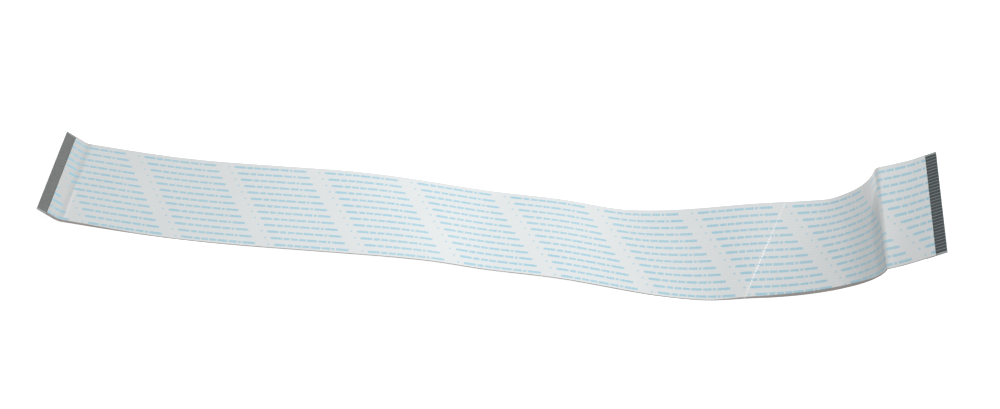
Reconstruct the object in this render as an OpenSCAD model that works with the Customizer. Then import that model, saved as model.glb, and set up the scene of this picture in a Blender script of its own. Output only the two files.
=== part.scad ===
// Flexible flat ribbon cable: two insulating films laminated over flat conductors, with bare
// contacts at both ends and a stiffener under each end. It lies on a surface as it comes to rest,
// in millimetres, with +Z up, its length along X and its origin on the surface below its middle.

/* [Cable] */
// Length of the cable along its centre line, from end to end
cable_length = 300; // [280:1:320]
// Number of conductors side by side
way_count = 32; // [20:1:40]
// Distance from one conductor's centre line to the next
pitch = 1; // [0.9:0.05:1.25]
// Distance from each outer conductor's centre line to the edge of the film
edge_margin = 1; // [0.8:0.1:2]

/* [Layers] */
// Width of each conductor
conductor_width = 0.7; // [0.4:0.05:0.8]
// Thickness of each conductor
conductor_thickness = 0.1; // [0.05:0.01:0.15]
// Thickness of each of the two films, with its glue
film_thickness = 0.1; // [0.06:0.01:0.2]

/* [Ends] */
// Length of bare contact at each end, where the upper film stops short
contact_length = 3.5; // [2:0.5:5]
// Length of the stiffener under each end
stiffener_length = 7; // [6:0.5:9]
// Thickness of each stiffener
stiffener_thickness = 0.2; // [0.1:0.05:0.35]

/* [Folds] */
// Distance from the left stiffener to the middle of the left fold
left_fold_gap = 1; // [1:0.5:4]
// Turn at the left fold in degrees, which leaves the left end raised
left_fold_turn = 38; // [25:1:50]
// Distance from the right stiffener to the middle of the right fold
right_fold_gap = 12; // [9:0.5:15]
// Turn at the right fold in degrees, which brings the flap down beyond it
right_fold_turn = 70; // [55:1:80]
// Length of cable that a fold takes up
fold_run = 2; // [1:0.25:2]

/* [Facets] */
// Length of each flat facet along the bent cable
facet_length = 6; // [5:0.5:8]

/* [Hidden] */
// The bends are placed along a cable of this length, and move in proportion on any other
ROUTE_LENGTH = 300;
// The bends that the loose cable has taken between its ends, chosen by hand. Each has the distance
// of its middle from the left end, the length that it takes up, the upward curl at its middle in
// degrees per centimetre, and the slant of its bending line in degrees, far end to the right.
BENDS = [
    // Slow rise behind the left end
    [45, 70, 2.5, -10],
    // Low crest, and the small dip and crest after it
    [116, 50, -4, -38],
    [146, 24, 4, -5],
    [170, 28, -5, -5],
    // Trough where the cable rests, tighter along the near edge, and the levelling after it
    [204, 50, 13, -38],
    [232, 20, -6, 0],
    // Steep roll up to the right fold, tightest just before it
    [246, 24, 8, 25],
    [262, 40, 18, -16],
    [276, 24, 30, -10],
    // Slight upward curl of the flap beyond the right fold
    [288, 12, 24, 15]
];
MIDDLE = 0;
RUN = 1;
CURL = 2;
SLANT = 3;
MM_PER_CM = 10;
// Stretches of the two edges that touch the surface at one point each: from, to, and the side
FAR = 1;
NEAR = -1;
TOUCHING = [[20, 120, NEAR], [150, 260, NEAR], [140, 260, FAR]];
// Rounds in which the lowest points are found again after the cable is turned
SETTLE_ROUNDS = 8;
FOLD_LINES = 3;
RING_CORNERS = 4;
IDENTITY = [[1, 0, 0, 0], [0, 1, 0, 0], [0, 0, 1, 0], [0, 0, 0, 1]];

FILM_COLOUR = [0.86, 0.86, 0.85];
CONTACT_COLOUR = [0.62, 0.63, 0.62];
STIFFENER_COLOUR = [0.78, 0.82, 0.86];

half_width = (way_count - 1) * pitch / 2 + edge_margin;
core = conductor_thickness / 2;
skin = core + film_thickness;
right_end = cable_length;
right_stiffener_edge = cable_length - stiffener_length;
right_contact_edge = cable_length - contact_length;
left_fold = stiffener_length + left_fold_gap;
right_fold = right_stiffener_edge - right_fold_gap;
stretch = cable_length / ROUTE_LENGTH;

CONDUCTORS = [for (way = [1 : way_count]) str("conductor_", way < 10 ? "0" : "", way)];

// The bending lines: the flat cable turns only at these distances from the left end
function fold_lines(fold) =
    [for (i = [0 : FOLD_LINES - 1]) fold + fold_run * ((i + 0.5) / FOLD_LINES - 0.5)];
function lines_between(from, to) =
    let (facets = max(1, round((to - from) / facet_length)))
    [for (i = [1 : 1 : facets - 1]) from + (to - from) * i / facets];
lines = concat(
    [0, contact_length, stiffener_length],
    fold_lines(left_fold),
    lines_between(left_fold, right_fold),
    fold_lines(right_fold),
    lines_between(right_fold, right_stiffener_edge),
    [right_stiffener_edge, right_contact_edge, right_end]
);
last = len(lines) - 1;

// The turn that the cable has made up to a distance, in degrees, with upward turns positive
function clamp(value, low, high) = min(max(value, low), high);
function total(values, i = 0) = i < len(values) ? values[i] + total(values, i + 1) : 0;
function bend_turn(bend, distance) =
    let (
        run = bend[RUN] * stretch,
        past = clamp(distance - bend[MIDDLE] * stretch, -run / 2, run / 2)
    )
    bend[CURL] / MM_PER_CM * ((past + run / 2) / 2 + run / (4 * PI) * sin(360 * past / run));
function fold_turn(fold, turn, distance) = turn * clamp((distance - fold) / fold_run + 0.5, 0, 1);
function turn_to(distance) =
    let (bendable = clamp(distance, stiffener_length, right_stiffener_edge))
    total([for (bend = BENDS) bend_turn(bend, bendable)])
    + fold_turn(left_fold, left_fold_turn, distance)
    + fold_turn(right_fold, -right_fold_turn, distance);
function line_turn(i) =
    i == 0 || i == last ? 0
    : turn_to((lines[i] + lines[i + 1]) / 2) - turn_to((lines[i - 1] + lines[i]) / 2);

slants = concat(
    [[stiffener_length, 0]],
    [for (bend = BENDS) [bend[MIDDLE] * stretch, bend[SLANT]]],
    [[right_stiffener_edge, 0]]
);
function slant(i) = lookup(lines[i], slants);

// The place of each facet, found by turning about one bending line after another
function slide_x(x) = [[1, 0, 0, x], [0, 1, 0, 0], [0, 0, 1, 0], [0, 0, 0, 1]];
function turn_y(a) =
    [[cos(a), 0, sin(a), 0], [0, 1, 0, 0], [-sin(a), 0, cos(a), 0], [0, 0, 0, 1]];
function turn_z(a) =
    [[cos(a), -sin(a), 0, 0], [sin(a), cos(a), 0, 0], [0, 0, 1, 0], [0, 0, 0, 1]];
function bend_at(i) =
    slide_x(lines[i]) * turn_z(-slant(i)) * turn_y(-line_turn(i)) * turn_z(slant(i))
    * slide_x(-lines[i]);
function facets_from(i, place) =
    i > last ? []
    : let (here = place * bend_at(i)) concat([here], facets_from(i + 1, here));
facets = facets_from(0, IDENTITY);
function facet_normal(i) = [for (row = [0 : 2]) facets[i][row][2]];

// A point on bending line i, at a distance across the cable and a height above its middle plane.
// The height is measured along the mitre, so that every layer keeps its thickness on both facets.
function mitre(i) =
    let (before = facet_normal(max(i - 1, 0)), after = facet_normal(i))
    (before + after) / (1 + before * after);
function bent_point(i, across, height) =
    let (flat = [lines[i] + tan(slant(i)) * across, across, 0, 1], on_facet = facets[i] * flat)
    [on_facet[0], on_facet[1], on_facet[2]] + height * mitre(i);

// The resting pose: the upward direction is the normal of the plane through the lowest point of
// each touching stretch, and X runs from the left end towards the right end
function lowest(touching, up) =
    let (
        points = [
            for (i = [0 : last])
                if (lines[i] > touching[0] * stretch && lines[i] < touching[1] * stretch)
                    bent_point(i, touching[2] * half_width, -skin)
        ],
        heights = [for (point = points) point * up]
    )
    points[search(min(heights), heights)[0]];
function unit(v) = v / norm(v);
function settle(up, rounds) =
    rounds <= 0 ? up
    : let (feet = [for (touching = TOUCHING) lowest(touching, up)])
        settle(unit(cross(feet[1] - feet[0], feet[2] - feet[0])), rounds - 1);
up = settle(facet_normal(floor(last / 2)), SETTLE_ROUNDS);
span = bent_point(last, 0, 0) - bent_point(0, 0, 0);
along = unit(span - (span * up) * up);
to_rest = [along, cross(up, along), up];

corners = [
    for (i = [0 : last], side = [NEAR, FAR], height = [-skin, skin])
        to_rest * bent_point(i, side * half_width, height)
];
stiffened_corners = [
    for (i = [0, last], side = [NEAR, FAR])
        to_rest * bent_point(i, side * half_width, -skin - stiffener_thickness)
];
all_corners = concat(corners, stiffened_corners);
function least(axis) = min([for (corner = all_corners) corner[axis]]);
function greatest(axis) = max([for (corner = all_corners) corner[axis]]);
origin = [(least(0) + greatest(0)) / 2, (least(1) + greatest(1)) / 2, least(2)];
function resting_point(i, across, height) = to_rest * bent_point(i, across, height) - origin;

// One bent layer between two distances along the cable, two across it and two heights. It has a ring
// of four corners on each bending line, counted from the near side of its underside.
module layer(from, to, near_side, far_side, bottom, top) {
    rings = [for (i = [0 : last]) if (lines[i] >= from && lines[i] <= to) i];
    points = [
        for (i = rings)
            each [
                resting_point(i, near_side, bottom),
                resting_point(i, far_side, bottom),
                resting_point(i, far_side, top),
                resting_point(i, near_side, top)
            ]
    ];
    end = RING_CORNERS * (len(rings) - 1);
    walls = [
        for (ring = [0 : RING_CORNERS : end - RING_CORNERS], corner = [0 : RING_CORNERS - 1])
            let (
                a = ring + corner,
                b = ring + (corner + 1) % RING_CORNERS,
                next_a = a + RING_CORNERS,
                next_b = b + RING_CORNERS
            )
            each [[a, b, next_b], [a, next_b, next_a]]
    ];
    caps = [[0, 2, 1], [0, 3, 2], [end, end + 1, end + 2], [end, end + 2, end + 3]];
    polyhedron(points = points, faces = concat(walls, caps));
}

module upper_film() {
    color(FILM_COLOUR)
        layer(contact_length, right_contact_edge, -half_width, half_width, core, skin);
}

module lower_film() {
    color(FILM_COLOUR)
        layer(0, right_end, -half_width, half_width, -skin, -core);
}

module conductor(way) {
    middle = half_width - edge_margin - (way - 1) * pitch;
    near_side = middle - conductor_width / 2;
    color(CONTACT_COLOUR)
        layer(0, right_end, near_side, near_side + conductor_width, -core, core);
}

module stiffener(from, to) {
    color(STIFFENER_COLOUR)
        layer(from, to, -half_width, half_width, -skin - stiffener_thickness, -skin);
}

module left_stiffener() {
    stiffener(0, stiffener_length);
}

module right_stiffener() {
    stiffener(right_stiffener_edge, right_end);
}

upper_film();
lower_film();
left_stiffener();
right_stiffener();
for (way = [1 : way_count])
    conductor(way);
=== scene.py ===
"""Looks of a flexible flat ribbon cable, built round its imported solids.

Every size is in metres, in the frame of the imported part: +Z is up, the cable runs along X from its
left end to its right end, and the origin is on the surface below its middle. The cable is one flat
strip that turns only about straight bending lines, so each layer is swept over the same lines. In
the finishes, places and sizes are in millimetres on the flat cable, from its left end and from its
far edge.
"""

import logging
import math
from dataclasses import dataclass, field
from enum import Enum

import bpy
import numpy as np
from mathutils import Euler, Matrix, Vector


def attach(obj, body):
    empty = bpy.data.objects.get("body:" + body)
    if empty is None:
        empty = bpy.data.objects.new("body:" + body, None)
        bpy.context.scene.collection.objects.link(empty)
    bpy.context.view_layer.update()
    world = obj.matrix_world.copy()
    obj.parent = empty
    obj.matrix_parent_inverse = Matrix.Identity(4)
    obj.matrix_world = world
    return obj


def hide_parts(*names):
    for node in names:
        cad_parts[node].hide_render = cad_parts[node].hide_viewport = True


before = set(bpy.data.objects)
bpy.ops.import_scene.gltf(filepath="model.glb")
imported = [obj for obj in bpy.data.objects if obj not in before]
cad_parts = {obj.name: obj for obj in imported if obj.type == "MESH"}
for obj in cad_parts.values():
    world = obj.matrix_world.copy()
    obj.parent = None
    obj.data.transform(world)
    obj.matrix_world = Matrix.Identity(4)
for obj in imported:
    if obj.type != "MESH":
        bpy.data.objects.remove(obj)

Colour = tuple[float, float, float, float]
Place = tuple[float, float, float]
Socket = bpy.types.NodeSocket
Value = Socket | float | Colour

MM = 0.001
CM = 10 * MM
SLACK = MM / 1000
BLACK: Colour = (0, 0, 0, 1)
WHITE: Colour = (1, 1, 1, 1)
BODY = "root"
FLAT_MAP = "Flat"
BAKE_MAP = "OFBake"

log = logging.getLogger("ribbon_cable")


class Side(Enum):
    """A long edge of the cable, with its sign across the cable."""

    NEAR = -1
    FAR = 1


class End(Enum):
    """An end of the cable."""

    LEFT = "left"
    RIGHT = "right"


class FaceKind(Enum):
    """A kind of face on a layer, with the index of its material."""

    BROAD = 0
    CUT = 1


class Mark(Enum):
    """A kind of mark that handling leaves, with its name in the shared node group."""

    CLOUD = "Cloud"
    STREAKS = "Streaks"
    GRAIN = "Grain"


# --- Sizes and route ------------------------------------------------------------------------------


@dataclass(frozen=True)
class Bend:
    """One bend that the loose cable has taken.

    Args:
        middle: Distance of its middle from the left end.
        run: Length of cable that it takes up.
        curl: Upward curl at its middle, in degrees per centimetre.
        slant: Slant of its bending line in degrees, far end to the right.
    """

    middle: float
    run: float
    curl: float
    slant: float

    def turn_before(self, distance: np.ndarray) -> np.ndarray:
        """Adds up the turn of this bend.

        Args:
            distance: Distances from the left end.

        Returns:
            The turn in radians that this bend has made up to each distance.
        """
        past = np.clip(distance - self.middle, -self.run / 2, self.run / 2)
        swell = self.run / (4 * np.pi) * np.sin(2 * np.pi * past / self.run)
        return math.radians(self.curl) / CM * ((past + self.run / 2) / 2 + swell)


@dataclass(frozen=True)
class Fold:
    """A sharp fold across the cable.

    Args:
        middle: Distance of its middle from the left end.
        turn: Upward turn in degrees.
        run: Length of cable that it takes up.
    """

    middle: float
    turn: float
    run: float = 2 * MM

    def turn_before(self, distance: np.ndarray) -> np.ndarray:
        """The turn in radians that this fold has made up to each distance."""
        share = np.clip((distance - self.middle) / self.run + 0.5, 0, 1)
        return math.radians(self.turn) * share


@dataclass(frozen=True)
class CableSizes:
    """Sizes of the flat cable before it is bent, as the solids have them."""

    length: float = 300 * MM
    ways: int = 32
    pitch: float = 1 * MM
    edge_margin: float = 1 * MM
    conductor_width: float = 0.7 * MM
    conductor_thickness: float = 0.1 * MM
    film_thickness: float = 0.1 * MM
    contact_length: float = 3.5 * MM
    stiffener_length: float = 7 * MM
    stiffener_thickness: float = 0.2 * MM
    left_fold: Fold = Fold(8 * MM, 38)
    right_fold: Fold = Fold(281 * MM, -70)
    bends: tuple[Bend, ...] = (
        Bend(45 * MM, 70 * MM, 2.5, -10),
        Bend(116 * MM, 50 * MM, -4, -38),
        Bend(146 * MM, 24 * MM, 4, -5),
        Bend(170 * MM, 28 * MM, -5, -5),
        Bend(204 * MM, 50 * MM, 13, -38),
        Bend(232 * MM, 20 * MM, -6, 0),
        Bend(246 * MM, 24 * MM, 8, 25),
        Bend(262 * MM, 40 * MM, 18, -16),
        Bend(276 * MM, 24 * MM, 30, -10),
        Bend(288 * MM, 12 * MM, 24, 15),
    )

    @property
    def half_width(self) -> float:
        """Half the width of the film."""
        return (self.ways - 1) * self.pitch / 2 + self.edge_margin

    @property
    def core(self) -> float:
        """Height of a conductor's upper face over the middle plane."""
        return self.conductor_thickness / 2

    @property
    def skin(self) -> float:
        """Height of the upper film's outer face over the middle plane."""
        return self.core + self.film_thickness

    @property
    def right_stiffener(self) -> float:
        """Distance from the left end to the inner edge of the right stiffener."""
        return self.length - self.stiffener_length

    @property
    def right_contacts(self) -> float:
        """Distance from the left end to where the right contacts are bare."""
        return self.length - self.contact_length

    @property
    def conductor_middles(self) -> np.ndarray:
        """Place of each conductor across the cable, from the far side to the near side."""
        return self.half_width - self.edge_margin - np.arange(self.ways) * self.pitch


class BentStrip:
    """The flat strip turned about one bending line after another, in the frame of its left end."""

    def __init__(self, sizes: CableSizes, lines: np.ndarray) -> None:
        """Turns the strip about the given bending lines.

        Args:
            sizes: The cable's sizes and bends.
            lines: Distances of the bending lines along the middle of the cable, rising.
        """
        self.sizes = sizes
        self.lines = lines
        self.slants = self._slants_at(lines)
        between = self._turn_to((lines[1:] + lines[:-1]) / 2)
        turns = np.zeros(len(lines))
        turns[1:-1] = between[1:] - between[:-1]
        self.rotations = np.zeros((len(lines), 3, 3))
        self.shifts = np.zeros((len(lines), 3))
        turned, shift = np.eye(3), np.zeros(3)
        for i, line in enumerate(lines):
            axis = Vector((math.sin(self.slants[i]), math.cos(self.slants[i]), 0))
            bend = np.array(Matrix.Rotation(-turns[i], 3, axis))
            pivot = np.array([line, 0, 0])
            shift = shift + turned @ (pivot - bend @ pivot)
            turned = turned @ bend
            self.rotations[i], self.shifts[i] = turned, shift

    def _turn_to(self, distance: np.ndarray) -> np.ndarray:
        """Sums the turns of all bends and folds.

        Args:
            distance: Distances from the left end.

        Returns:
            The turn in radians that the cable has made up to each distance.
        """
        sizes = self.sizes
        bendable = np.clip(distance, sizes.stiffener_length, sizes.right_stiffener)
        turn = sum(bend.turn_before(bendable) for bend in sizes.bends)
        folds = (sizes.left_fold, sizes.right_fold)
        return turn + sum(fold.turn_before(distance) for fold in folds)

    def _slants_at(self, distance: np.ndarray) -> np.ndarray:
        """Finds the slants of bending lines, which change evenly from one bend to the next.

        Args:
            distance: Distances from the left end.

        Returns:
            The slant in radians at each distance.
        """
        sizes = self.sizes
        middles = [bend.middle for bend in sizes.bends]
        places = [sizes.stiffener_length, *middles, sizes.right_stiffener]
        slants = [0.0, *(bend.slant for bend in sizes.bends), 0.0]
        return np.radians(np.interp(distance, places, slants))

    @property
    def normals(self) -> np.ndarray:
        """The upward normal of the facet after each bending line."""
        return self.rotations[:, :, 2]

    @property
    def mitres(self) -> np.ndarray:
        """Finds the steps by which a layer gains height without changing its thickness.

        Returns:
            The step on each bending line that is one unit high over both of its facets.
        """
        after = self.normals
        before = np.concatenate([after[:1], after[:-1]])
        return (before + after) / (1 + (before * after).sum(axis=1))[:, None]

    def flat_distance(self, across: np.ndarray) -> np.ndarray:
        """Distance along the flat pattern at which each line meets each place across."""
        return self.lines[:, None] + np.tan(self.slants)[:, None] * across[None, :]

    def points(self, across: np.ndarray, height: np.ndarray) -> np.ndarray:
        """Places points on every bending line.

        Args:
            across: Places across the cable, one for each column.
            height: Height over the middle plane of each column.

        Returns:
            An array of lines by columns by three.
        """
        along = self.flat_distance(across)
        flat = np.stack([along, np.broadcast_to(across, along.shape), 0 * along], axis=-1)
        placed = np.einsum("lij,lcj->lci", self.rotations, flat) + self.shifts[:, None, :]
        return placed + height[None, :, None] * self.mitres[:, None, :]


@dataclass
class Route:
    """Where the cable lies: its bending lines, and the turn and shift that bring it to rest.

    Args:
        sizes: The cable's sizes and bends.
        facet_length: Length of each facet of the solids between the folds.
        fine_step: Length of each facet of the visible pieces between the folds.
        fold_lines: Number of bending lines in each fold of the solids.
        fine_fold_lines: Number of bending lines in each fold of the visible pieces.
        settle_rounds: Rounds in which the lowest points are found again after a turn.
        touching: Stretches of the edges that touch the surface at one point each.
    """

    sizes: CableSizes = field(default_factory=CableSizes)
    facet_length: float = 6 * MM
    fine_step: float = 1.5 * MM
    fold_lines: int = 3
    fine_fold_lines: int = 10
    settle_rounds: int = 8
    touching: tuple[tuple[float, float, Side], ...] = (
        (20 * MM, 120 * MM, Side.NEAR),
        (150 * MM, 260 * MM, Side.NEAR),
        (140 * MM, 260 * MM, Side.FAR),
    )

    def __post_init__(self) -> None:
        """Lays the solids' own facets to rest, and puts the finely bent strip in the same place."""
        solid = BentStrip(self.sizes, self._lines(self.facet_length, self.fold_lines))
        self.turn, self.origin = self._resting_place(solid)
        self.strip = BentStrip(self.sizes, self._lines(self.fine_step, self.fine_fold_lines))

    def _lines(self, step: float, fold_lines: int) -> np.ndarray:
        """Lists the bending lines from end to end.

        Args:
            step: Length of each facet between the folds.
            fold_lines: Number of lines in each fold.

        Returns:
            The distances of the lines, rising.
        """
        sizes = self.sizes
        left, right = sizes.left_fold, sizes.right_fold
        share = (np.arange(fold_lines) + 0.5) / fold_lines - 0.5
        lines = [0, sizes.contact_length, sizes.stiffener_length]
        for fold, until, clear in (
            (left, right.middle, right.middle - right.run / 2),
            (right, sizes.right_stiffener, sizes.right_stiffener),
        ):
            facets = max(1, round((until - fold.middle) / step))
            evenly = fold.middle + (until - fold.middle) * np.arange(1, facets) / facets
            lines.extend(fold.middle + fold.run * share)
            lines.extend(d for d in evenly if fold.middle + fold.run / 2 < d < clear)
        lines.extend([sizes.right_stiffener, sizes.right_contacts, sizes.length])
        return np.array(lines)

    def _resting_place(self, strip: BentStrip) -> tuple[np.ndarray, np.ndarray]:
        """Finds how the cable comes to rest on its three lowest points.

        Args:
            strip: The strip with the solids' own facets.

        Returns:
            The rotation to the resting pose, and the point that becomes the origin.
        """
        sizes = self.sizes
        edges = {
            side: strip.points(np.array([side.value * sizes.half_width]), np.array([-sizes.skin]))
            for side in Side
        }
        up = strip.normals[(len(strip.lines) - 1) // 2]
        for _ in range(self.settle_rounds):
            feet = []
            for start, stop, side in self.touching:
                held = edges[side][(strip.lines > start) & (strip.lines < stop), 0]
                feet.append(held[np.argmin(held @ up)])
            up = np.cross(feet[1] - feet[0], feet[2] - feet[0])
            up = up / np.linalg.norm(up)
        middle = strip.points(np.zeros(1), np.zeros(1))[:, 0]
        span = middle[-1] - middle[0]
        along = span - (span @ up) * up
        along = along / np.linalg.norm(along)
        turn = np.array([along, np.cross(up, along), up])
        return turn, self._origin(strip, turn)

    def _origin(self, strip: BentStrip, turn: np.ndarray) -> np.ndarray:
        """Finds the middle of the resting cable's footprint, at its lowest point.

        Args:
            strip: The strip with the solids' own facets.
            turn: The rotation to the resting pose.

        Returns:
            The point, in the turned frame.
        """
        sizes = self.sizes
        across = np.array([-sizes.half_width, sizes.half_width])
        corners = [strip.points(across, np.full(2, level)) for level in (-sizes.skin, sizes.skin)]
        below = np.full(2, -sizes.skin - sizes.stiffener_thickness)
        corners.append(strip.points(across, below)[[0, -1]])
        turned = np.concatenate(corners).reshape(-1, 3) @ turn.T
        low, high = turned.min(axis=0), turned.max(axis=0)
        return np.array([(low[0] + high[0]) / 2, (low[1] + high[1]) / 2, low[2]])

    def points(self, across: np.ndarray, height: np.ndarray) -> np.ndarray:
        """Points on every fine bending line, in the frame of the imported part."""
        return self.strip.points(across, height) @ self.turn.T - self.origin

    def centre_line(self) -> np.ndarray:
        """The middle of the cable from end to end."""
        return self.points(np.zeros(1), np.zeros(1))[:, 0]

    def rows_between(self, start: float, stop: float) -> np.ndarray:
        """The numbers of the bending lines from one distance to another, both included."""
        lines = self.strip.lines
        return np.flatnonzero((lines >= start - SLACK) & (lines <= stop + SLACK))


# --- Meshes ---------------------------------------------------------------------------------------


@dataclass(frozen=True)
class Section:
    """A cross section of one layer: for each column its place across, its bottom and its top."""

    across: np.ndarray
    bottom: np.ndarray
    top: np.ndarray


@dataclass
class LayerMesh:
    """Sweeps cross sections over the bending lines into one closed mesh for each layer.

    Args:
        route: Where the cable lies.
        bake_bays: Number of bays in which the second map stacks the length of the cable.
        bake_side: Side of the second map's square.
        bake_gutter: Gap between what lies side by side in the second map.
        bake_gutters: Number of such gaps in each bay.
        bake_lip: Width that the cut faces take up in the second map.
        hidden_share: Scale of the undersides in the second map.
        crisp_angle: Angle from which an edge stays crisp.
    """

    route: Route
    bake_bays: int = 3
    bake_side: float = 136 * MM
    bake_gutter: float = 1 * MM
    bake_gutters: int = 3
    bake_lip: float = 0.12 * MM
    hidden_share: float = 0.1
    crisp_angle: float = math.radians(35)

    def build(
        self, name: str, sections: list[Section], start: float, stop: float
    ) -> bpy.types.Object:
        """Builds one layer, or several side by side, as one object.

        Args:
            name: Name of the object.
            sections: Cross sections of what is swept.
            start: Distance at which the layer begins.
            stop: Distance at which it ends.

        Returns:
            The new object, linked to the scene.
        """
        rows = self.route.rows_between(start, stop)
        verts, faces, kinds, flat, bake = [], [], [], [], []
        for section in sections:
            swept = self._sweep(section, rows, sum(len(v) for v in verts))
            for whole, part in zip((verts, faces, kinds, flat, bake), swept):
                whole.append(part)
        mesh = bpy.data.meshes.new(name)
        mesh.from_pydata(
            np.concatenate(verts).tolist(), [], np.concatenate(faces).tolist(), shade_flat=False
        )
        mesh.polygons.foreach_set("material_index", np.concatenate(kinds))
        for map_name, corners in ((FLAT_MAP, flat), (BAKE_MAP, bake)):
            layer = mesh.uv_layers.new(name=map_name)
            layer.data.foreach_set("uv", np.concatenate(corners).astype(np.float32).ravel())
        mesh.uv_layers.active = mesh.uv_layers[FLAT_MAP]
        mesh.uv_layers[FLAT_MAP].active_render = True
        mesh.validate()
        mesh.set_sharp_from_angle(angle=self.crisp_angle)
        piece = bpy.data.objects.new(name, mesh)
        bpy.context.scene.collection.objects.link(piece)
        return piece

    def _sweep(self, section: Section, rows: np.ndarray, first: int) -> tuple[np.ndarray, ...]:
        """Sweeps one cross section over the given bending lines.

        Args:
            section: The cross section.
            rows: Numbers of the bending lines.
            first: Index of the first new vertex.

        Returns:
            The vertices, the faces, the kind of each face, and the two maps of the face corners.
        """
        columns, count = len(section.across), len(rows)
        around = 2 * columns
        loop = np.concatenate([section.across, section.across[::-1]])
        height = np.concatenate([section.bottom, section.top[::-1]])
        verts = self.route.points(loop, height)[rows].reshape(-1, 3)
        ring = np.arange(around)
        following = np.roll(ring, -1)
        here = (np.arange(count - 1) * around)[:, None]
        ahead = here + around
        walls = np.stack([here + ring, here + following, ahead + following, ahead + ring], axis=-1)
        cut_wall = np.isin(ring, (columns - 1, around - 1))
        wall_kinds = np.where(cut_wall, FaceKind.CUT.value, FaceKind.BROAD.value)
        lower = np.arange(columns - 1)
        upper = around - 1 - lower
        cap = np.stack([lower, upper, upper - 1, lower + 1], axis=-1)
        far_cap = cap[:, ::-1] + (count - 1) * around
        faces = np.concatenate([walls.reshape(-1, 4), cap, far_cap])
        cap_kinds = np.full(2 * len(cap), FaceKind.CUT.value)
        kinds = np.concatenate([np.tile(wall_kinds, count - 1), cap_kinds])
        flat = self._flat_map(loop, rows).reshape(-1, 2)[faces]
        return verts, faces + first, kinds, flat, self._bake_map(section, rows, faces)

    def _flat_map(self, loop: np.ndarray, rows: np.ndarray) -> np.ndarray:
        """Maps the flat pattern.

        Args:
            loop: Places across the cable, once round the layer.
            rows: Numbers of the bending lines.

        Returns:
            The share of the length, and of the width from the far edge, of each vertex.
        """
        sizes = self.route.sizes
        along = self.route.strip.flat_distance(loop)[rows] / sizes.length
        across = (sizes.half_width - loop) / (2 * sizes.half_width)
        return np.stack([along, np.broadcast_to(across, along.shape)], axis=-1)

    def _bake_map(self, section: Section, rows: np.ndarray, faces: np.ndarray) -> np.ndarray:
        """Lays the faces out in stacked bays without an overlap.

        Args:
            section: The cross section.
            rows: Numbers of the bending lines.
            faces: The faces, counted from the sweep's first vertex.

        Returns:
            The place of each corner of each face.
        """
        sizes, strip = self.route.sizes, self.route.strip
        columns, count = len(section.across), len(rows)
        around, width = 2 * columns, 2 * sizes.half_width
        spot = faces % around
        is_bottom = spot < columns
        column = np.where(is_bottom, spot, around - 1 - spot)
        top_place = (sizes.half_width - section.across)[column]
        under_place = width + self.bake_gutter + self.hidden_share * (width - top_place)
        u = strip.flat_distance(section.across)[rows][faces // around, column]
        v = np.where(is_bottom, under_place, top_place)

        walls = around * (count - 1)
        ring = np.arange(walls) % around
        lip = np.where(is_bottom, self.bake_lip, 0)
        for wall_ring, sign in ((columns - 1, -1), (around - 1, 1)):
            cut = np.flatnonzero(ring == wall_ring)
            v[cut] = top_place[cut] + sign * lip[cut]
        caps = walls + columns - 1
        for cap, sign in ((slice(walls, caps), -1), (slice(caps, None), 1)):
            u[cap] += sign * lip[cap]
            v[cap] = top_place[cap]

        bay_length = sizes.length / self.bake_bays
        starts = strip.lines[rows][faces.min(axis=1) // around]
        bay = np.minimum(np.floor(starts / bay_length), self.bake_bays - 1)[:, None]
        bay_height = (1 + self.hidden_share) * width + self.bake_gutters * self.bake_gutter
        u = u - bay * bay_length + (self.bake_side - bay_length) / 2
        v = v + bay * bay_height + self.bake_gutter
        return np.stack([u, v], axis=-1) / self.bake_side


# --- Shader wiring --------------------------------------------------------------------------------


@dataclass(frozen=True)
class Step:
    """A smooth step of a value from one place to another.

    Args:
        low: Where the step begins.
        high: Where it ends.
        start: The value before it.
        stop: The value after it.
    """

    low: Value
    high: Value
    start: float = 0.0
    stop: float = 1.0


def edge(place: float, blur: float, start: float = 0.0, stop: float = 1.0) -> Step:
    """A step at one place, blurred by as much on each side of it."""
    return Step(place - blur, place + blur, start, stop)


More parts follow.
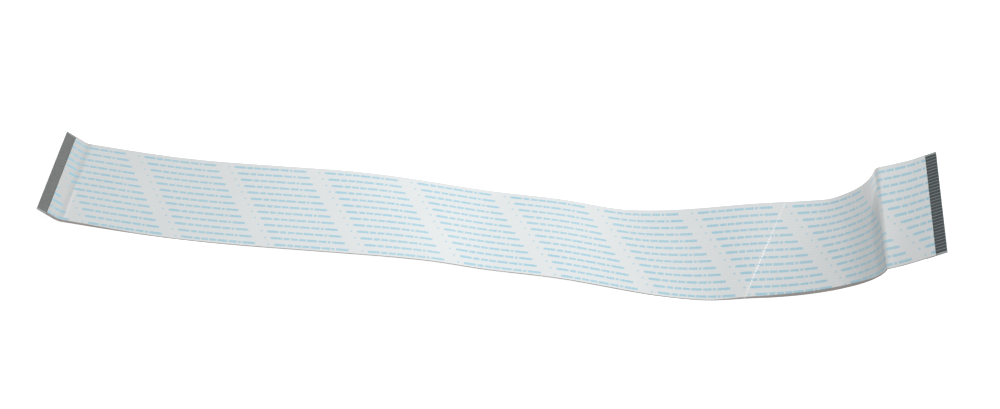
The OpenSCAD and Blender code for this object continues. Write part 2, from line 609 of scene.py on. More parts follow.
class Wiring:
    """Adds and joins the nodes of one tree."""

    def __init__(self, tree: bpy.types.NodeTree) -> None:
        """Takes the tree to work on."""
        self.tree = tree

    def node(
        self, kind: str, inputs: dict[str | int, Value] | None = None, **settings: object
    ) -> bpy.types.Node:
        """Adds a node.

        Args:
            kind: Kind of the node.
            inputs: What its inputs are joined or set to, by name or number.
            settings: The node's own properties.

        Returns:
            The node.
        """
        node = self.tree.nodes.new(kind)
        for name, value in settings.items():
            setattr(node, name, value)
        for name, value in (inputs or {}).items():
            self.put(node.inputs[name], value)
        return node

    def put(self, socket: Socket, value: Value) -> None:
        """Joins a socket to another one, or sets its value.

        Args:
            socket: The input.
            value: The output that it is joined to, or its value.
        """
        if isinstance(value, Socket):
            self.tree.links.new(value, socket)
        else:
            socket.default_value = value

    def math(self, operation: str, *values: Value, clamp: bool = False) -> Socket:
        """Adds a math node.

        Args:
            operation: What it does.
            values: Its one, two or three values.
            clamp: Whether the result is kept from zero to one.

        Returns:
            The result.
        """
        inputs = dict(enumerate(values))
        node = self.node("ShaderNodeMath", inputs, operation=operation, use_clamp=clamp)
        return node.outputs["Value"]

    def join(self, operation: str, first: Value, *others: Value) -> Socket:
        """Joins any number of values with one operation.

        Args:
            operation: What joins one value and the next.
            first: The first value.
            others: The values after it.

        Returns:
            The result.
        """
        for value in others:
            first = self.math(operation, first, value)
        return first

    def times(self, *values: Value) -> Socket:
        """Multiplies the values."""
        return self.join("MULTIPLY", *values)

    def minus(self, value: Value, taken: Value) -> Socket:
        """Takes one value from another."""
        return self.math("SUBTRACT", value, taken)

    def away(self, value: Value, middle: Value) -> Socket:
        """How far a value is from another one, on either side."""
        return self.math("ABSOLUTE", self.minus(value, middle))

    def mix(self, share: Value, first: Value, second: Value) -> Socket:
        """Adds a colour mix.

        Args:
            share: Share of the second colour.
            first: The first colour.
            second: The second colour.

        Returns:
            The mixed colour.
        """
        inputs = {"Factor": share, "A": first, "B": second}
        node = self.node("ShaderNodeMix", inputs, data_type="RGBA", clamp_factor=True)
        return node.outputs["Result"]

    def ramp(self, value: Value, *steps: Step) -> Socket:
        """Adds smooth steps of one value.

        Args:
            value: The value.
            steps: The steps.

        Returns:
            The product of the steps.
        """
        ramps = []
        for step in steps:
            inputs = {"Value": value, "From Min": step.low, "From Max": step.high}
            inputs |= {"To Min": step.start, "To Max": step.stop}
            node = self.node("ShaderNodeMapRange", inputs, interpolation_type="SMOOTHSTEP")
            ramps.append(node.outputs["Result"])
        return self.times(*ramps)


class EffectGroup(Wiring):
    """The wiring of a node group, with its named inputs and outputs."""

    def __init__(self, name: str, inputs: dict[str, float], outputs: tuple[str, ...]) -> None:
        """Makes an empty node group.

        Args:
            name: Name of the group.
            inputs: Its inputs by name, each with its usual value.
            outputs: Names of its outputs.
        """
        super().__init__(bpy.data.node_groups.new(name, "ShaderNodeTree"))
        interface = self.tree.interface
        for label, value in inputs.items():
            socket = interface.new_socket(
                name=label, in_out="INPUT", socket_type="NodeSocketFloat"
            )
            socket.default_value = value
        for label in outputs:
            interface.new_socket(name=label, in_out="OUTPUT", socket_type="NodeSocketFloat")
        self.given = self.node("NodeGroupInput").outputs
        self.result = self.node("NodeGroupOutput").inputs


@dataclass
class SharedEffects:
    """The node groups that more than one of the cable's materials uses.

    Args:
        sizes: The cable's sizes.
        conductor_blur: Usual blur of a conductor's edge.
        cloud_size: Usual size of the soft clouds.
        streak_size: Usual width of the streaks.
        streak_stretch: Length of a streak for each unit of its width.
        grain_size: Usual size of the grain.
        detail: How finely the marks are broken up.
    """

    sizes: CableSizes
    conductor_blur: float = 0.1
    cloud_size: float = 12.0
    streak_size: float = 0.5
    streak_stretch: float = 12.0
    grain_size: float = 0.3
    detail: float = 2.0

    def __post_init__(self) -> None:
        """Builds each group once."""
        self.flat_place = self._flat_place()
        self.conductor_rows = self._conductor_rows()
        self.handling = self._handling()

    def _flat_place(self) -> bpy.types.NodeTree:
        """Builds the group that says where a spot lies on the flat cable.

        Returns:
            A group with the distance along and the distance from the far edge, in millimetres.
        """
        inputs = {"Length": self.sizes.length / MM, "Width": 2 * self.sizes.half_width / MM}
        group = EffectGroup("Flat place", inputs, ("Along", "Across"))
        uv = group.node("ShaderNodeUVMap", uv_map=FLAT_MAP).outputs["UV"]
        spot = group.node("ShaderNodeSeparateXYZ", {0: uv}).outputs
        for axis, size, label in (("X", "Length", "Along"), ("Y", "Width", "Across")):
            group.put(group.result[label], group.times(spot[axis], group.given[size]))
        return group.tree

    def _conductor_rows(self) -> bpy.types.NodeTree:
        """Builds the group that marks what lies over a conductor.

        Returns:
            A group with a mask that is one over a conductor.
        """
        sizes = self.sizes
        inputs = {
            "Across": 0.0,
            "Pitch": sizes.pitch / MM,
            "Margin": sizes.edge_margin / MM,
            "Width": sizes.conductor_width / MM,
            "Blur": self.conductor_blur,
        }
        group = EffectGroup("Conductor rows", inputs, ("Over conductor",))
        given = group.given
        past = group.minus(given["Across"], given["Margin"])
        count = group.math("DIVIDE", past, given["Pitch"])
        away = group.times(group.away(count, group.math("ROUND", count)), given["Pitch"])
        half = group.times(given["Width"], 0.5)
        inner, outer = group.minus(half, given["Blur"]), group.join("ADD", half, given["Blur"])
        over = group.ramp(away, Step(inner, outer, 1.0, 0.0))
        group.put(group.result["Over conductor"], over)
        return group.tree

    def _handling(self) -> bpy.types.NodeTree:
        """Builds the group of slight marks that handling leaves.

        Returns:
            A group with soft clouds, fine streaks along the cable, and a fine grain.
        """
        sizes = {
            "Cloud size": self.cloud_size,
            "Streak size": self.streak_size,
            "Grain size": self.grain_size,
        }
        stretches = {Mark.CLOUD: 1.0, Mark.STREAKS: self.streak_stretch, Mark.GRAIN: 1.0}
        outputs = tuple(mark.value for mark in stretches)
        group = EffectGroup("Handling", {"Along": 0.0, "Across": 0.0} | sizes, outputs)
        for size, (mark, stretch) in zip(sizes, stretches.items()):
            along = group.math("DIVIDE", group.given["Along"], group.given[size])
            x = group.math("DIVIDE", along, stretch)
            y = group.math("DIVIDE", group.given["Across"], group.given[size])
            spot = group.node("ShaderNodeCombineXYZ", {"X": x, "Y": y}).outputs["Vector"]
            inputs = {"Vector": spot, "Scale": 1.0, "Detail": self.detail}
            noise = group.node("ShaderNodeTexNoise", inputs)
            group.put(group.result[mark.value], noise.outputs["Fac"])
        return group.tree


class Finish:
    """A material of the cable, with what all of them share."""

    def __init__(self, name: str, effects: SharedEffects, cloud_size: float) -> None:
        """Starts the material with its place on the flat cable and its handling marks.

        Args:
            name: Name of the material.
            effects: The shared node groups.
            cloud_size: Size of the soft clouds.
        """
        self.material = bpy.data.materials.new(name)
        self.material.use_nodes = True
        self.wiring = Wiring(self.material.node_tree)
        self.shader = self.material.node_tree.nodes["Principled BSDF"].inputs
        self.effects = effects
        self.sizes = effects.sizes
        self.length, self.width = self.sizes.length / MM, 2 * self.sizes.half_width / MM
        place = self._placed(effects.flat_place, Length=self.length, Width=self.width)
        self.along, self.across = place["Along"], place["Across"]
        marks = self._placed(
            effects.handling, Along=self.along, Across=self.across, Cloud_size=cloud_size
        )
        self.marks = {mark: marks[mark.value] for mark in Mark}

    def _placed(self, group: bpy.types.NodeTree, **values: Value) -> bpy.types.bpy_prop_collection:
        """Places a shared node group.

        Args:
            group: The group.
            values: Its inputs by name, with an underscore for each space.

        Returns:
            Its outputs.
        """
        inputs = {name.replace("_", " "): value for name, value in values.items()}
        return self.wiring.node("ShaderNodeGroup", inputs, node_tree=group).outputs

    def over_conductor(self, blur: float) -> Socket:
        """Marks what lies over a conductor.

        Args:
            blur: Blur of a conductor's edge.

        Returns:
            The mask.
        """
        rows = self._placed(
            self.effects.conductor_rows,
            Across=self.across,
            Pitch=self.sizes.pitch / MM,
            Margin=self.sizes.edge_margin / MM,
            Width=self.sizes.conductor_width / MM,
            Blur=blur,
        )
        return rows["Over conductor"]

    def close(
        self, colour: Socket, roughness: Socket, relief: Mark, depth: float
    ) -> bpy.types.Material:
        """Joins what varies over the surface to the shader.

        Args:
            colour: The colour.
            roughness: The roughness.
            relief: The handling marks that show as a fine relief.
            depth: Depth of the relief.

        Returns:
            The finished material.
        """
        inputs = {"Distance": depth * MM, "Height": self.marks[relief]}
        normal = self.wiring.node("ShaderNodeBump", inputs).outputs["Normal"]
        for name, value in (("Base Color", colour), ("Roughness", roughness), ("Normal", normal)):
            self.wiring.put(self.shader[name], value)
        return self.material


# --- Marks on the film ----------------------------------------------------------------------------


@dataclass(frozen=True)
class PaintedShadeAndClouds:
    """Painted shade on the film at the left end and next to the right fold, with a faint random tone
    in clouds.

    Args:
        left: How the left flap differs from the film behind it.
        left_end: How the painted shade fades behind the left flap.
        roll: How the painted shade grows towards the right fold.
        flap: How it falls on the right flap.
        clouds: How the faint random tone follows the soft clouds.
    """

    left: Step = Step(8.0, 10.5, 1.0, 0.25)
    left_end: Step = Step(10.0, 80.0, 1.0, 0.0)
    roll: Step = Step(258.0, 276.0, 0.0, 0.8)
    flap: Step = Step(281.0, 282.0, 1.0, 0.2)
    clouds: Step = Step(0.35, 0.75, 0.0, 0.05)

    def mask(self, finish: Finish) -> Socket:
        """Marks the painted shade and the faint cloud tone.

        Args:
            finish: The film's material.

        Returns:
            The mask.
        """
        wiring = finish.wiring
        left = wiring.ramp(finish.along, self.left, self.left_end)
        right = wiring.ramp(finish.along, self.roll, self.flap)
        clouds = wiring.ramp(finish.marks[Mark.CLOUD], self.clouds)
        return wiring.join("ADD", left, right, clouds)


@dataclass(frozen=True)
class PaintedEdgeShadow:
    """Painted shadow: a dark brown band along the near edge, widest along the roll, standing for the
    shadow just under that edge.

    Args:
        rise: How its width grows along the roll.
        fall: How it falls towards the right fold.
        tail: Its width behind the left end.
        least: Its least width.
        border: How it fades at its inner border.
    """

    rise: Step = Step(205.0, 250.0)
    fall: Step = Step(262.0, 282.0, 1.0, 0.2)
    tail: Step = Step(6.0, 50.0, 0.8, 0.0)
    least: float = 0.22
    border: Step = Step(0.0, 0.25, 0.0, 0.8)

    def mask(self, finish: Finish) -> Socket:
        """Marks the painted shadow.

        Args:
            finish: The film's material.

        Returns:
            The mask.
        """
        wiring = finish.wiring
        roll = wiring.ramp(finish.along, self.rise, self.fall)
        tail = wiring.ramp(finish.along, self.tail)
        reach = wiring.join("MAXIMUM", roll, tail, self.least)
        from_edge = wiring.minus(finish.width, finish.across)
        return wiring.ramp(wiring.minus(reach, from_edge), self.border)


@dataclass(frozen=True)
class Whitening:
    """Film lighter along the two folds.

    Args:
        wrinkle: How the wrinkle behind the left fold fades on each side.
        wrinkle_gap: Distance from the left fold to the wrinkle.
        wrinkle_reach: How the wrinkle begins across the cable.
        crease: How the right fold fades on each side.
    """

    wrinkle: Step = Step(0.1, 0.8, 0.45, 0.0)
    wrinkle_gap: float = 1.6
    wrinkle_reach: Step = Step(14.0, 20.0)
    crease: Step = Step(0.1, 0.6, 0.2, 0.0)

    def mask(self, finish: Finish) -> Socket:
        """Marks the white film.

        Args:
            finish: The film's material.

        Returns:
            The mask.
        """
        wiring, sizes = finish.wiring, finish.sizes
        line = sizes.left_fold.middle / MM + self.wrinkle_gap
        wrinkle = wiring.ramp(wiring.away(finish.along, line), self.wrinkle)
        wrinkle = wiring.times(wrinkle, wiring.ramp(finish.across, self.wrinkle_reach))
        away = wiring.away(finish.along, sizes.right_fold.middle / MM)
        return wiring.math("ADD", wrinkle, wiring.ramp(away, self.crease), clamp=True)


@dataclass(frozen=True)
class PaintedGlint:
    """Painted glint: a fine slanting bright line across the cable, brightest on each ridge of the
    film.

    Args:
        start: Where it meets the far edge.
        slope: How far along it moves for each step across.
        line: How it fades on each side.
        ridges: How it fades beside each ridge.
        middle: Where across the cable it is strongest.
        strength: How it weakens away from there.
    """

    start: float = 241.5
    slope: float = -0.35
    line: Step = Step(0.15, 0.4, 1.0, 0.0)
    ridges: Step = Step(0.15, 0.35, 1.0, 0.25)
    middle: float = 20.0
    strength: Step = Step(3.0, 12.0, 1.0, 0.4)

    def mask(self, finish: Finish) -> Socket:
        """Marks the painted glint.

        Args:
            finish: The film's material.

        Returns:
            The mask.
        """
        wiring, across = finish.wiring, finish.across
        place = wiring.math("MULTIPLY_ADD", across, self.slope, self.start)
        line = wiring.ramp(wiring.away(finish.along, place), self.line)
        share = wiring.math("FRACT", across)
        from_ridge = wiring.math("MINIMUM", share, wiring.minus(1.0, share))
        strength = wiring.ramp(wiring.away(across, self.middle), self.strength)
        return wiring.times(line, wiring.ramp(from_ridge, self.ridges), strength)


@dataclass(frozen=True)
class BareStretches:
    """The lower film between the bare contacts, darker than elsewhere but for its margins.

    Args:
        left: Colour at the left end.
        right: Colour at the right end.
        margin: Share of the outer margin that stays lighter.
        margin_tone: Strength of the colour in the margins.
        blur: Blur of the borders.
    """

    left: Colour = (0.165, 0.175, 0.17, 1)
    right: Colour = (0.17, 0.21, 0.21, 1)
    margin: float = 0.65
    margin_tone: float = 0.75
    blur: float = 0.05

    def lay_over(self, finish: Finish, colour: Socket) -> Socket:
        """Darkens the film at both ends.

        Args:
            finish: The film's material.
            colour: The colour of the film elsewhere.

        Returns:
            The colour.
        """
        wiring, sizes = finish.wiring, finish.sizes
        contact = sizes.contact_length / MM
        other_edge = wiring.minus(finish.width, finish.across)
        from_edge = wiring.math("MINIMUM", finish.across, other_edge)
        margin = edge(self.margin * sizes.edge_margin / MM, self.blur, self.margin_tone)
        inside = wiring.ramp(from_edge, margin)
        for tone, border in (
            (self.left, edge(contact, self.blur, 1.0, 0.0)),
            (self.right, edge(finish.length - contact, self.blur)),
        ):
            end = wiring.ramp(finish.along, border)
            colour = wiring.mix(wiring.times(end, inside), colour, tone)
        return colour


@dataclass(frozen=True)
class PrintedRows:
    """The print: slanting blocks of rows, each of a dot and dashes made of small upright marks.

    Args:
        rows: Number of rows.
        first_row: Distance of the first row from the far edge.
        row_pitch: Distance from row to row.
        repeat: Distance after which a row repeats.
        start: Distance of the first row's first dot from the left end.
        row_shift: How much further along each next row begins.
        mark_pitch: Distance from mark to mark in a dash.
        mark_width: Width of a mark.
        mark_blur: Blur of a mark's sides, as a share of the pitch.
        mark_height: Usual height of a mark.
        mark_loss: How far the shortest marks fall short of it above and below.
        mark_spread: How much further than the shortest marks the tallest reach above and below.
        height_blur: Blur of a mark's top and bottom.
        dot_size: Width of the dot that begins each repeat.
        dot_blur: Blur of the dot's edge.
        dot_tone: Share of ink in the dot.
        gap_tone: Share of ink in the gaps between the dashes.
        patches: How the ink follows the soft clouds.
        dashes: Start and end of each dash, counted from the dot.
    """

    rows: int = 13
    first_row: float = 1.8
    row_pitch: float = 2.5
    repeat: float = 30.85
    start: float = 26.0
    row_shift: float = 1.7
    mark_pitch: float = 0.46
    mark_width: float = 0.37
    mark_blur: float = 0.06
    mark_height: float = 0.92
    mark_loss: float = 0.1
    mark_spread: float = 0.12
    height_blur: float = 0.05
    dot_size: float = 0.75
    dot_blur: float = 0.08
    dot_tone: float = 0.55
    gap_tone: float = 0.2
    patches: Step = Step(0.2, 0.8, 0.85, 1.0)
    dashes: tuple[tuple[float, float], ...] = (
        (1.8, 5.6),
        (6.2, 8.0),
        (8.6, 10.8),
        (11.3, 13.4),
        (13.9, 17.1),
        (17.7, 20.2),
        (20.8, 21.6),
        (22.2, 26.3),
    )

    def mask(self, finish: Finish) -> Socket:
        """Marks the print.

        Args:
            finish: The film's material.

        Returns:
            The mask.
        """
        wiring = finish.wiring
        down = wiring.math("DIVIDE", wiring.minus(finish.across, self.first_row), self.row_pitch)
        row = wiring.math("ROUND", down)
        from_row = wiring.times(wiring.away(down, row), self.row_pitch)
        begin = wiring.math("MULTIPLY_ADD", row, self.row_shift, self.start)
        turns = wiring.math("DIVIDE", wiring.minus(finish.along, begin), self.repeat)
        share = wiring.math("FRACT", turns)
        past = wiring.times(share, self.repeat)
        marks = wiring.times(self._dashes(wiring, share), self._marks(wiring, past, from_row))
        ink = wiring.math("MAXIMUM", marks, self._dot(wiring, past, from_row))
        from_first = wiring.math("GREATER_THAN", row, -0.5)
        to_last = wiring.math("LESS_THAN", row, self.rows - 0.5)
        patches = wiring.ramp(finish.marks[Mark.CLOUD], self.patches)
        return wiring.times(from_first, to_last, ink, patches)

    def _marks(self, wiring: Wiring, past: Socket, from_row: Socket) -> Socket:
        """Marks small uprights of uneven height.

        Args:
            wiring: The material's wiring.
            past: Distance past the dot.
            from_row: Distance from the middle of the row.

        Returns:
            The mask.
        """
        cell = wiring.math("DIVIDE", past, self.mark_pitch)
        half_width = self.mark_width / self.mark_pitch / 2
        from_middle = wiring.away(wiring.math("FRACT", cell), 0.5)
        wide = wiring.ramp(from_middle, edge(half_width, self.mark_blur, 1.0, 0.0))
        number = wiring.math("FLOOR", cell)
        draw = wiring.node("ShaderNodeTexWhiteNoise", noise_dimensions="1D")
        wiring.put(draw.inputs["W"], number)
        shortest = self.mark_height / 2 - self.mark_loss
        height = wiring.math("MULTIPLY_ADD", draw.outputs["Value"], self.mark_spread, shortest)
        tall = wiring.ramp(wiring.minus(height, from_row), edge(0.0, self.height_blur))
        return wiring.times(wide, tall)

    def _dot(self, wiring: Wiring, past: Socket, from_row: Socket) -> Socket:
        """Marks the dot that begins each repeat.

        Args:
            wiring: The material's wiring.
            past: Distance past the dot.
            from_row: Distance from the middle of the row.

        Returns:
            The mask.
        """
        half = self.repeat / 2
        from_dot = wiring.minus(half, wiring.away(past, half))
        squares = [wiring.times(value, value) for value in (from_dot, from_row)]
        radius = wiring.math("SQRT", wiring.math("ADD", *squares))
        return wiring.ramp(radius, edge(self.dot_size / 2, self.dot_blur, self.dot_tone, 0.0))

    def _dashes(self, wiring: Wiring, share: Socket) -> Socket:
        """Marks where the dashes of a repeat lie.

        Args:
            wiring: The material's wiring.
            share: Place in the repeat, from zero to one.

        Returns:
            The mask, with the faint ink of the gaps between the dashes.
        """
        ramp = wiring.node("ShaderNodeValToRGB", {"Fac": share})
        ramp.color_ramp.interpolation = "CONSTANT"
        gap = (*3 * (self.gap_tone,), 1)
        stops = ramp.color_ramp.elements
        stops[0].position, stops[0].color = 0, BLACK
        stops.remove(stops[1])
        for start, stop in self.dashes:
            for place, tone in ((start, WHITE), (stop, gap)):
                stops.new(place / self.repeat).color = tone
        stops[-1].color = BLACK
        return ramp.outputs["Color"]


# --- Finishes -------------------------------------------------------------------------------------


@dataclass(frozen=True)
class FilmFinish:
    """Glossy white film with what lies under it showing faintly, and a print on its upper side.

    Args:
        name: Name of the material.
        printed: Whether it is the upper film, with the print, and not the lower one.
        film: Colour of the film between the conductors.
        over_conductor: Colour of the film over a conductor.
        conductor_blur: Blur of a conductor's edge under the film.
        shade_and_cloud_colour: Colour of the painted shade and of the faint cloud tone.
        white: Colour of the film along the folds.
        edge_shadow: Colour of the painted shadow along the near edge.
        glint_colour: Colour of the painted glint.
        ink: Colour of the ink.
        ink_strength: How much the ink covers.
        ink_roughness: How much rougher the ink is than the film.
        cloud_size: Size of the soft clouds.
        roughness: How the roughness follows the soft clouds.
        coat: Weight of the clear gloss.
        coat_roughness: Roughness of the clear gloss.
        grain_depth: Depth of the grain.
    """

    name: str
    printed: bool
    film: Colour = (0.735, 0.757, 0.762, 1)
    over_conductor: Colour = (0.730, 0.753, 0.759, 1)
    conductor_blur: float = 0.12
    shade_and_cloud_colour: Colour = (0.510, 0.520, 0.520, 1)
    white: Colour = (0.80, 0.82, 0.82, 1)
    edge_shadow: Colour = (0.17, 0.14, 0.12, 1)
    glint_colour: Colour = WHITE
    ink: Colour = (0.12, 0.51, 0.68, 1)
    ink_strength: float = 0.75
    ink_roughness: float = 0.15
    cloud_size: float = 18.0
    roughness: Step = Step(0.3, 0.7, 0.3, 0.36)
    coat: float = 0.5
    coat_roughness: float = 0.03
    grain_depth: float = 0.002

    def build(self, effects: SharedEffects) -> bpy.types.Material:
        """Builds the material.

        Args:
            effects: The shared node groups.

        Returns:
            The material.
        """
        finish = Finish(self.name, effects, self.cloud_size)
        wiring = finish.wiring
        over = finish.over_conductor(self.conductor_blur)
        colour = wiring.mix(over, self.film, self.over_conductor)
        # Painted shade: the film is darkened at the left end and towards the right fold, where shade
        # falls; the faint clouds are a real random tone.
        colour = wiring.mix(PaintedShadeAndClouds().mask(finish), colour, self.shade_and_cloud_colour)
        colour = wiring.mix(Whitening().mask(finish), colour, self.white)
        rough = wiring.ramp(finish.marks[Mark.CLOUD], self.roughness)
        if self.printed:
            ink = PrintedRows().mask(finish)
            colour = wiring.mix(wiring.times(ink, self.ink_strength), colour, self.ink)
            rough = wiring.math("ADD", rough, wiring.times(ink, self.ink_roughness))
            # Painted shadow: a dark band along the near edge, widest along the roll.
            colour = wiring.mix(PaintedEdgeShadow().mask(finish), colour, self.edge_shadow)
            # Painted glint: a bright slanting line, dotted on the film's ridges.
            colour = wiring.mix(PaintedGlint().mask(finish), colour, self.glint_colour)
        else:
            colour = BareStretches().lay_over(finish, colour)
        wiring.put(finish.shader["Coat Weight"], self.coat)
        wiring.put(finish.shader["Coat Roughness"], self.coat_roughness)
        return finish.close(colour, rough, Mark.GRAIN, self.grain_depth)


@dataclass(frozen=True)
class TinFinish:
    """Dull tinned copper, more tarnished at the right end, and wiped along where it was plugged.

    Args:
        name: Name of the material.
        left: Colour of the left half.
        right: Colour of the right half.
        wiped: Colour of the wiped streaks.
        wiping: How the wiped colour follows the streaks.
        metallic: How metallic the surface is, which tarnish lessens.
        cloud_size: Size of the soft clouds.
        roughness: How the roughness follows the soft clouds.
        streak_depth: Depth of the streaks.
    """

    name: str = "tinned_contacts"
    left: Colour = (0.195, 0.205, 0.20, 1)
    right: Colour = (0.072, 0.083, 0.089, 1)
    wiped: Colour = (0.30, 0.31, 0.30, 1)
    wiping: Step = Step(0.55, 0.75, 0.0, 0.15)
    metallic: float = 0.9
    cloud_size: float = 1.5
    roughness: Step = Step(0.3, 0.7, 0.38, 0.52)
    streak_depth: float = 0.004

    def build(self, effects: SharedEffects) -> bpy.types.Material:
        """Builds the material.

        Args:
            effects: The shared node groups.

        Returns:
            The material.
        """
        finish = Finish(self.name, effects, self.cloud_size)
        wiring = finish.wiring
        is_right = wiring.math("GREATER_THAN", finish.along, finish.length / 2)
        wiped = wiring.ramp(finish.marks[Mark.STREAKS], self.wiping)
        colour = wiring.mix(wiped, wiring.mix(is_right, self.left, self.right), self.wiped)
        rough = wiring.ramp(finish.marks[Mark.CLOUD], self.roughness)
        wiring.put(finish.shader["Metallic"], self.metallic)
        return finish.close(colour, rough, Mark.STREAKS, self.streak_depth)


@dataclass(frozen=True)
class TwoToneFinish:
    """A matte surface that wavers between two close tones.

    Args:
        name: Name of the material.
        first: The first tone.
        second: The second tone.
        cloud_size: Size of the soft clouds.
        rough_by: The handling marks that the roughness follows.
        roughness: How it follows them.
        grain_depth: Depth of the grain.
        tones: How the second tone follows the soft clouds.
    """

    name: str
    first: Colour
    second: Colour
    cloud_size: float
    rough_by: Mark
    roughness: Step
    grain_depth: float
    tones: Step = Step(0.3, 0.7)

    def build(self, effects: SharedEffects) -> bpy.types.Material:
        """Builds the material.

        Args:
            effects: The shared node groups.

        Returns:
            The material.
        """
        finish = Finish(self.name, effects, self.cloud_size)
        wiring = finish.wiring
        share = wiring.ramp(finish.marks[Mark.CLOUD], self.tones)
        colour = wiring.mix(share, self.first, self.second)
        rough = wiring.ramp(finish.marks[self.rough_by], self.roughness)
        return finish.close(colour, rough, Mark.GRAIN, self.grain_depth)


CUT_FILM_FINISH = TwoToneFinish(
    name="cut_film_edge",
    first=(0.11, 0.088, 0.075, 1),
    second=(0.22, 0.185, 0.165, 1),
    cloud_size=6.0,
    rough_by=Mark.GRAIN,
    roughness=Step(0.3, 0.7, 0.45, 0.6),
    grain_depth=0.004,
)
STIFFENER_FINISH = TwoToneFinish(
    name="stiffener_plastic",
    first=(0.46, 0.53, 0.58, 1),
    second=(0.52, 0.58, 0.62, 1),
    cloud_size=4.0,
    rough_by=Mark.STREAKS,
    roughness=Step(0.3, 0.7, 0.32, 0.42),
    grain_depth=0.003,
)


# --- Pieces of the cable --------------------------------------------------------------------------


@dataclass
class RibbonCable:
    """The laminated film and its conductors: a free cord with bare ends.

    Args:
        route: Where the cable lies.
        mesher: What sweeps the layers.
        effects: The shared node groups.
        rib_offsets: Columns of a film round each conductor's middle, in pitches.
        rib_drops: How far the film dips at each of them below its crest, in millimetres.
        edge_offsets: Columns of a film beyond each outer conductor's middle, in pitches.
        edge_drops: How far the film dips at each of them, in millimetres.
        corner_share: Share of a conductor's thickness that its rolled corners take up.
        bevel_share: Share of a stiffener's thickness that its bevels take up.
    """

    route: Route
    mesher: LayerMesh
    effects: SharedEffects
    rib_offsets: tuple[float, ...] = (-0.38, -0.2, 0.0, 0.2, 0.38, 0.5)
    rib_drops: tuple[float, ...] = (0.005, 0.0015, 0.0, 0.0015, 0.005, 0.012)
    edge_offsets: tuple[float, ...] = (0.6, 0.8, 1.0)
    edge_drops: tuple[float, ...] = (0.012, 0.018, 0.028)
    corner_share: float = 0.35
    bevel_share: float = 0.2

    def _columns(self) -> tuple[np.ndarray, np.ndarray]:
        """Lists the columns of a film, from the near edge to the far edge.

        Returns:
            Their places across, and how far the pressed film dips there below a conductor's crest.
        """
        sizes = self.route.sizes
        middles = sizes.conductor_middles[::-1]
        ribs = (middles[:, None] + sizes.pitch * np.array(self.rib_offsets)).ravel()
        margin = sizes.pitch * np.array(self.edge_offsets)
        first = [middles[0] - sizes.pitch / 2]
        across = np.concatenate([middles[0] - margin[::-1], first, ribs, middles[-1] + margin])
        rib_drops = (self.rib_drops[-1], *self.rib_drops * len(middles))
        drops = np.array([*self.edge_drops[::-1], *rib_drops, *self.edge_drops])
        return across, drops * MM

    def build_films(self) -> tuple[bpy.types.Object, bpy.types.Object]:
        """Builds the lower and the upper film.

        Returns:
            The lower film and the upper film.
        """
        sizes = self.route.sizes
        across, drops = self._columns()
        nearest = np.abs(across[:, None] - sizes.conductor_middles[None, :]).min(axis=1)
        over = nearest <= sizes.conductor_width / 2 + SLACK
        lower = Section(across, -sizes.skin + drops, np.full_like(across, -sizes.core))
        upper = Section(across, np.where(over, sizes.core, -sizes.core), sizes.skin - drops)
        span = (sizes.contact_length, sizes.right_contacts)
        return (
            self.mesher.build("lower_laminate", [lower], 0, sizes.length),
            self.mesher.build("printed_laminate", [upper], *span),
        )

    def build_conductors(self) -> bpy.types.Object:
        """Builds all flat conductors as one piece, each with its rolled corners.

        Returns:
            The piece.
        """
        sizes = self.route.sizes
        half, corner = sizes.conductor_width / 2, sizes.conductor_thickness * self.corner_share
        offsets = np.array([-half, corner - half, 0, half - corner, half])
        tops = np.full(len(offsets), sizes.core)
        tops[[0, -1]] -= corner
        bottoms = np.full(len(offsets), -sizes.core)
        sections = [Section(place + offsets, bottoms, tops) for place in sizes.conductor_middles]
        return self.mesher.build("flat_conductors", sections, 0, sizes.length)

    def build_stiffeners(self) -> dict[End, bpy.types.Object]:
        """Builds the stiffener under each end.

        Returns:
            The piece at each end.
        """
        sizes = self.route.sizes
        half, bevel = sizes.half_width, sizes.stiffener_thickness * self.bevel_share
        across = np.array([-half, bevel - half, -half / 2, 0, half / 2, half - bevel, half])
        top = np.full(len(across), -sizes.skin)
        bottom = top - sizes.stiffener_thickness
        bottom[[0, -1]] += bevel
        section = Section(across, bottom, top)
        spans = {
            End.LEFT: (0, sizes.stiffener_length),
            End.RIGHT: (sizes.right_stiffener, sizes.length),
        }
        return {
            end: self.mesher.build(f"{end.value}_end_stiffener", [section], *span)
            for end, span in spans.items()
        }

    def build(self) -> list[bpy.types.Object]:
        """Returns:
            The pieces.
        """
        sizes, effects = self.route.sizes, self.effects
        lower, upper = self.build_films()
        conductors = self.build_conductors()
        stiffeners = self.build_stiffeners()
        cut_edge = CUT_FILM_FINISH.build(effects)
        self._dress(lower, "film", FilmFinish("plain_film", False).build(effects), cut_edge)
        self._dress(upper, "film", FilmFinish("printed_film", True).build(effects), cut_edge)
        self._dress(conductors, "tinned_copper", TinFinish().build(effects))
        plastic = STIFFENER_FINISH.build(effects)
        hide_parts("lower_film")
        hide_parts("upper_film")
        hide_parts(*(f"conductor_{way:02d}" for way in range(1, sizes.ways + 1)))
        for end, piece in stiffeners.items():
            self._dress(piece, "stiffener", plastic)
            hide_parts(f"{end.value}_stiffener")
        centre = self.route.centre_line()
        others = [upper, conductors, *stiffeners.values()]
        return [lower, *others]

    def _dress(self, piece: bpy.types.Object, slot: str, *materials: bpy.types.Material) -> None:
        """Gives a piece its materials and its body.

        Args:
            piece: The piece.
            slot: The record's material slot; not used.
            materials: The material of its broad faces and, where it differs, of its cut faces.
        """
        for kind in FaceKind:
            piece.data.materials.append(materials[min(kind.value, len(materials) - 1)])
        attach(piece, BODY)


# --- Surroundings ---------------------------------------------------------------------------------


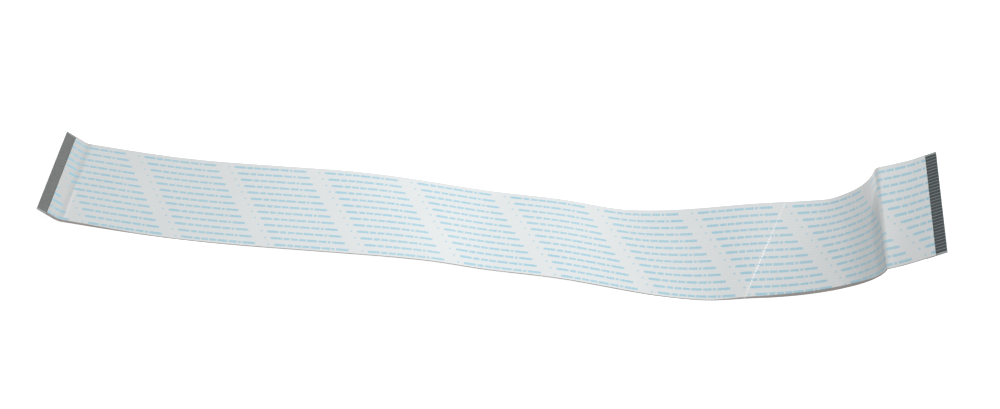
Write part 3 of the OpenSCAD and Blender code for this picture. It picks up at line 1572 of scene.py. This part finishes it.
@dataclass(frozen=True)
class Viewpoint:
    """Where the camera stands: it looks at a point from a distance.

    Args:
        target: The point that it looks at.
        distance: Distance from that point.
        azimuth: Turn to the left in degrees from looking along +Y.
        elevation: Height over the horizon in degrees.
        roll: Turn about its own line of sight in degrees.
        lens: Focal length in millimetres.
        sensor: Width of the sensor in millimetres.
        nearest: Distance from which it sees.
    """

    target: Place = (0.0077, -0.002, 0.02)
    distance: float = 0.5515
    azimuth: float = 10.04
    elevation: float = 51.08
    roll: float = -0.45
    lens: float = 63.6
    sensor: float = 36
    nearest: float = 0.01

    def build(self) -> bpy.types.Object:
        """Adds the camera and makes it the scene's own.

        Returns:
            The camera.
        """
        camera = bpy.data.objects.new("camera", bpy.data.cameras.new("camera"))
        camera.data.lens, camera.data.sensor_width = self.lens, self.sensor
        camera.data.clip_start = self.nearest
        turn = Euler((math.radians(90 - self.elevation), 0, math.radians(self.azimuth))).to_matrix()
        turn = turn @ Matrix.Rotation(math.radians(self.roll), 3, "Z")
        place = Vector(self.target) + turn @ Vector((0, 0, self.distance))
        camera.matrix_world = Matrix.Translation(place) @ turn.to_4x4()
        bpy.context.scene.collection.objects.link(camera)
        bpy.context.scene.camera = camera
        return camera


@dataclass(frozen=True)
class SoftStudio:
    """A plain pale floor under soft light.

    Args:
        sky: Strength of the light from the brightest part of the sky.
        sky_lean: How far towards +Y that part lies for each step towards +X.
        sky_dark: Where the light begins, on the way from the dark side, -1, to the bright side, 1.
        lamp_power: Power of the lamp in watts.
        lamp_place: Where the lamp hangs.
        lamp_size: Side of the lamp.
        floor_reach: Half the side of the floor.
        floor_colour: Colour of the floor under the light.
        floor_lift: How much of its white the floor keeps in the shadow.
    """

    sky: float = 1.22
    sky_lean: float = -0.36
    sky_dark: float = -0.43
    lamp_power: float = 0.44
    lamp_place: Place = (0.0, 0.0, 0.25)
    lamp_size: float = 0.12
    floor_reach: float = 3.0
    floor_colour: Colour = (0.6, 0.6, 0.6, 1)
    floor_lift: float = 0.85

    def build(self) -> None:
        """Adds the sky, the floor and the lamp."""
        self._sky()
        self._floor()
        self._lamp()

    def _sky(self) -> None:
        """Lights the world softly, most from the right and the front, and shows it white."""
        world = bpy.data.worlds.new("sky")
        world.use_nodes = True
        wiring = Wiring(world.node_tree)
        direction = wiring.node("ShaderNodeTexCoord").outputs["Generated"]
        apart = wiring.node("ShaderNodeSeparateXYZ", {"Vector": direction}).outputs
        side = wiring.math("MULTIPLY_ADD", apart["Y"], self.sky_lean, apart["X"])
        light = wiring.ramp(side, Step(self.sky_dark, 1.0, 0.0, self.sky))
        background = world.node_tree.nodes["Background"].inputs
        wiring.put(background["Color"], WHITE)
        wiring.put(background["Strength"], wiring.join("MAXIMUM", light, self._seen(wiring)))
        bpy.context.scene.world = world

    def _seen(self, wiring: Wiring) -> Socket:
        """Marks where the camera looks straight at the surroundings, or sees them mirrored.

        Args:
            wiring: The wiring of the sky or of the floor.

        Returns:
            The mask.
        """
        path = wiring.node("ShaderNodeLightPath").outputs
        rays = (path["Is Camera Ray"], path["Is Glossy Ray"], path["Is Transmission Ray"])
        return wiring.join("MAXIMUM", *rays)

    def _floor(self) -> None:
        """Lays the floor, which looks white outside the shadow and keeps the object's shadow."""
        reach = self.floor_reach
        mesh = bpy.data.meshes.new("pale_floor")
        corners = [(-reach, -reach, 0), (reach, -reach, 0), (reach, reach, 0), (-reach, reach, 0)]
        mesh.from_pydata(corners, [], [(0, 1, 2, 3)])
        floor = bpy.data.objects.new("pale_floor", mesh)
        bpy.context.scene.collection.objects.link(floor)
        material = bpy.data.materials.new("pale_floor")
        material.use_nodes = True
        wiring = Wiring(material.node_tree)
        shader = material.node_tree.nodes["Principled BSDF"].inputs
        for name, value in (
            ("Base Color", self.floor_colour),
            ("Roughness", 1.0),
            ("Specular IOR Level", 0.0),
            ("Emission Color", WHITE),
            ("Emission Strength", wiring.times(self._seen(wiring), self.floor_lift)),
        ):
            wiring.put(shader[name], value)
        mesh.materials.append(material)

    def _lamp(self) -> None:
        """Hangs the soft lamp above the middle of the cable, where nothing mirrors it."""
        light = bpy.data.lights.new("soft_lamp", "AREA")
        light.energy, light.size = self.lamp_power, self.lamp_size
        lamp = bpy.data.objects.new("soft_lamp", light)
        turn = Vector(self.lamp_place).to_track_quat("Z", "Y").to_matrix()
        lamp.matrix_world = Matrix.Translation(self.lamp_place) @ turn.to_4x4()
        lamp.visible_glossy = lamp.visible_camera = False
        bpy.context.scene.collection.objects.link(lamp)


def main() -> None:
    """Builds the camera, the cable and its surroundings in order."""
    logging.basicConfig(level=logging.INFO, format="%(name)s: %(message)s")
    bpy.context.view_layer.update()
    bpy.context.scene.view_settings.view_transform = "Standard"
    camera = Viewpoint().build()
    log.info("camera at %s", tuple(round(value, 4) for value in camera.location))
    route = Route()
    log.info("route of %d bending lines", len(route.strip.lines))
    cable = RibbonCable(route, LayerMesh(route), SharedEffects(route.sizes))
    for piece in cable.build():
        log.info("%s with %d faces", piece.name, len(piece.data.polygons))
    SoftStudio().build()
    log.info("sky, floor and lamp")


if __name__ == "__main__":
    main()
